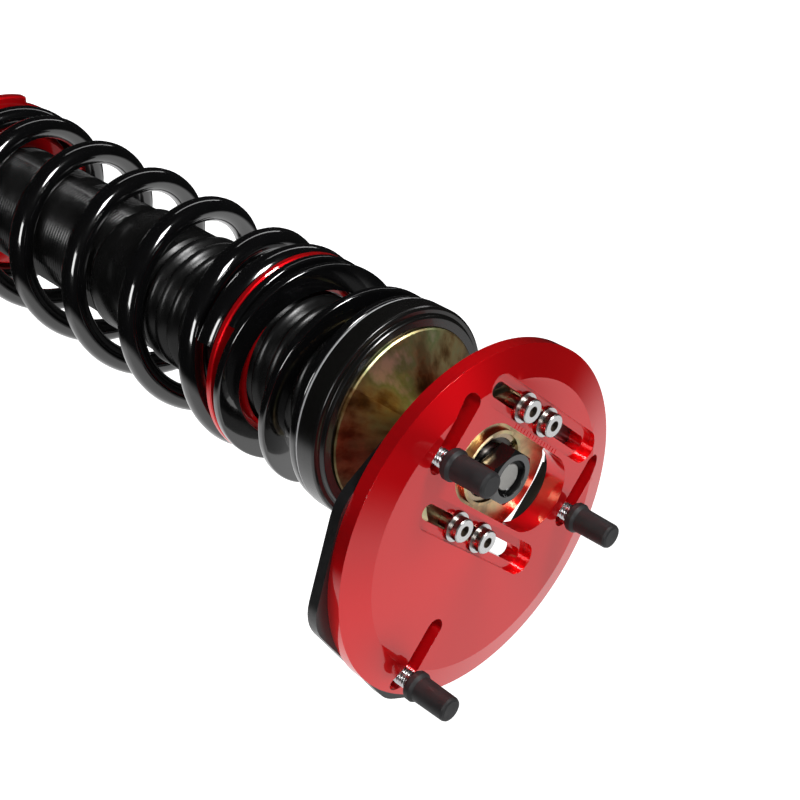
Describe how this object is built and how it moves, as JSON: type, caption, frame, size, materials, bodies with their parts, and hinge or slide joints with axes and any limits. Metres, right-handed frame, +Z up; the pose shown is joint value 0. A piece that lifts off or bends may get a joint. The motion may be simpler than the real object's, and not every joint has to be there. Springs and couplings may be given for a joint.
{
  "type": "front strut coilover",
  "caption": "Height adjustable strut coilover: slotted camber and caster plate, spherical top bearing, helper over main spring, threaded damper body and clevis bracket.",
  "frame": {"origin": "centre of the stud circle, on the plate face that meets the strut tower", "axes": "+Z up out of the plate along the studs, +X the camber direction, +Y the caster direction"},
  "size_m": [0.154, 0.1584, 0.606],
  "materials": {
    "red_anodised": "brushed, red anodised",
    "black_plate": "satin black",
    "zinc_bright": "bright zinc",
    "black_rubber": "matt moulded rubber",
    "gold_zinc": "yellow passivated zinc",
    "bearing_steel": "ground and polished",
    "liner_fabric": "woven liner",
    "ring_steel": "phosphated spring steel",
    "black_nut": "blackened steel",
    "chrome_rod": "hard chrome",
    "black_ring": "black anodised",
    "black_spring": "gloss black powder coat",
    "bump_foam": "microcellular foam",
    "body_steel": "zinc plated thread",
    "bare_aluminium": "machined",
    "bracket_steel": "silver coated steel"
  },
  "bodies": {
    "tower": {"stud_plate": "black_plate", "tower_studs": "zinc_bright"},
    "caps": {"stud_caps": "black_rubber"},
    "top_plate": {"camber_plate": "red_anodised"},
    "carrier": {"bearing_carrier": "gold_zinc", "bearing_race": "bearing_steel", "retaining_ring": "ring_steel", "camber_screws": "zinc_bright", "lock_washers": "zinc_bright", "flat_washers": "zinc_bright"},
    "liner": {"bearing_liner": "liner_fabric"},
    "rod": {"bearing_ball": "bearing_steel", "piston_rod": "chrome_rod", "top_nut": "black_nut", "rod_spacer": "bearing_steel", "thrust_upper_race": "bearing_steel", "bump_stop": "bump_foam", "rebound_stop": "black_nut", "piston": "bearing_steel", "piston_nut": "zinc_bright"},
    "seat": {"upper_spring_seat": "gold_zinc", "seat_ring": "black_ring", "thrust_lower_race": "bearing_steel", "thrust_balls": "bearing_steel", "helper_spring": "black_spring", "dust_boot": "black_rubber"},
    "divider": {"divider_ring": "red_anodised"},
    "damper": {"shock_body": "body_steel", "gland_nut": "black_nut", "rod_seal": "black_rubber", "floating_piston": "bare_aluminium", "lower_spring_seat": "red_anodised", "main_spring": "black_spring"},
    "lock_ring": {"seat_lock_ring": "red_anodised"},
    "bracket": {"knuckle_bracket": "bracket_steel", "brake_line_tab": "black_plate", "bracket_lock_ring": "red_anodised"}
  },
  "joints": [
    {"name": "cap_lift", "type": "slide", "parent": "tower", "child": "caps", "axis": [0, 0, 1], "range_m": [0, 0.04]},
    {"name": "caster_slide", "type": "slide", "parent": "tower", "child": "top_plate", "axis": [0, 1, 0], "range_m": [-0.0225, 0.0025]},
    {"name": "camber_slide", "type": "slide", "parent": "top_plate", "child": "carrier", "axis": [1, 0, 0], "range_m": [-0.0013, 0.008]},
    {"name": "tilt_x", "type": "hinge", "parent": "carrier", "child": "liner", "pos_m": [-0.006, 0.0319, -0.016], "axis": [1, 0, 0], "range_deg": [-6, 6]},
    {"name": "tilt_y", "type": "hinge", "parent": "liner", "child": "rod", "pos_m": [-0.006, 0.0319, -0.016], "axis": [0, 1, 0], "range_deg": [-6, 6]},
    {"name": "seat_spin", "type": "hinge", "parent": "rod", "child": "seat", "pos_m": [-0.006, 0.0319, -0.016], "axis": [0, 0, 1], "continuous": true},
    {"name": "damper_stroke", "type": "slide", "parent": "seat", "child": "damper", "axis": [0, 0, 1], "range_m": [0, 0.07], "stiffness_N_per_m": 28000, "deforming": ["main_spring", "helper_spring", "dust_boot"]},
    {"name": "divider_slide", "type": "slide", "parent": "seat", "child": "divider", "axis": [0, 0, 1], "range_m": [0, 0.0336]},
    {"name": "lock_ring_slide", "type": "slide", "parent": "damper", "child": "lock_ring", "axis": [0, 0, 1], "range_m": [-0.03, 0]},
    {"name": "ride_height", "type": "slide", "parent": "damper", "child": "bracket", "axis": [0, 0, 1], "range_m": [-0.015, 0.015]}
  ],
  "couplings": [
    {"joint": "divider_slide", "follows": "damper_stroke", "ratio": 0.48}
  ]
}
